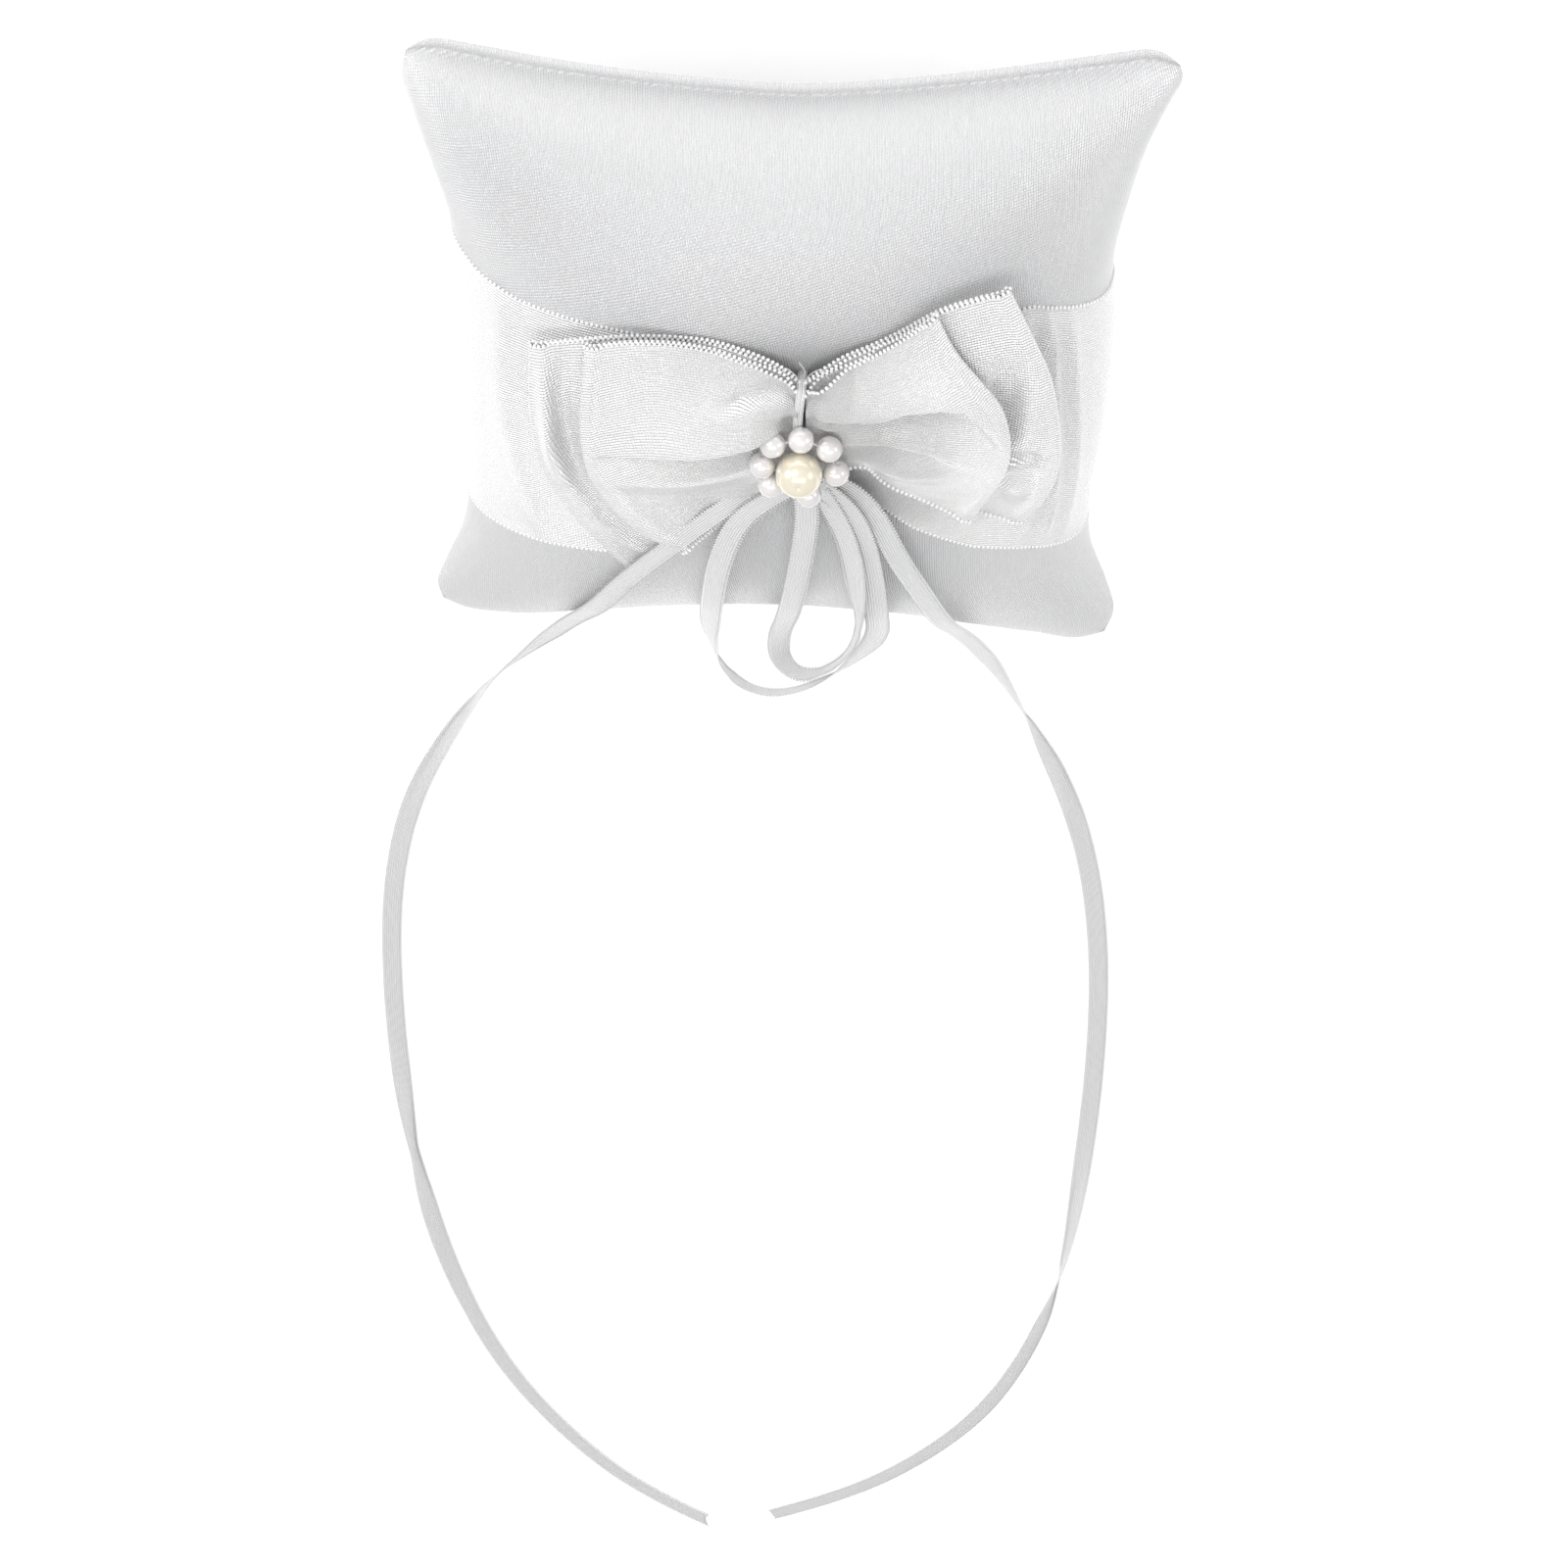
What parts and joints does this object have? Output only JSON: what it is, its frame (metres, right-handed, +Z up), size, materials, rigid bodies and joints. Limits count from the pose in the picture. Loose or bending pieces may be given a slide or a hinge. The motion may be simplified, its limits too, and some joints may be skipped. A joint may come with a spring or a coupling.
{
  "type": "ring bearer pillow",
  "caption": "Small square satin pillow with a ribbon sash, a double bow, a pearl cluster and long narrow ribbon tails for tying rings, lying on its back.",
  "frame": {"origin": "on the resting plane, under the middle of the pillow", "axes": "+Z up through the bow, +Y towards the hand-closed edge, the ribbon tails lie towards -Y"},
  "size_m": [0.1236, 0.3793, 0.0452],
  "materials": {
    "cover_satin": "white satin twill, soft sheen",
    "wide_ribbon": "white ribbed satin ribbon with looped selvedges, bright sheen",
    "narrow_ribbon": "white narrow satin ribbon, bright sheen",
    "sewing_thread": "white spun thread",
    "fibre": "loose polyester fibre",
    "pearl": "white imitation pearl, soft gloss",
    "pearl_cream": "cream imitation pearl, soft gloss",
    "nylon": "clear nylon line"
  },
  "bodies": {
    "root": {"bow_lower_ribbon": "wide_ribbon", "bow_tie": "narrow_ribbon", "bow_upper_ribbon": "wide_ribbon", "closing_stitches": "sewing_thread", "cover_back": "cover_satin", "cover_front": "cover_satin", "fibre_fill": "fibre", "pearl_large": "pearl_cream", "pearl_small_1": "pearl", "pearl_small_2": "pearl", "pearl_small_3": "pearl", "pearl_small_4": "pearl", "pearl_small_5": "pearl", "pearl_small_6": "pearl", "pearl_small_7": "pearl", "pearl_thread": "nylon", "ribbon_knot": "narrow_ribbon", "ribbon_loop_large": "narrow_ribbon", "ribbon_loop_small": "narrow_ribbon", "ribbon_tail_left": "narrow_ribbon", "ribbon_tail_right": "narrow_ribbon", "sash_ribbon": "wide_ribbon", "sash_stitches": "sewing_thread", "seam_thread": "sewing_thread", "tacking_thread": "sewing_thread"}
  },
  "joints": []
}
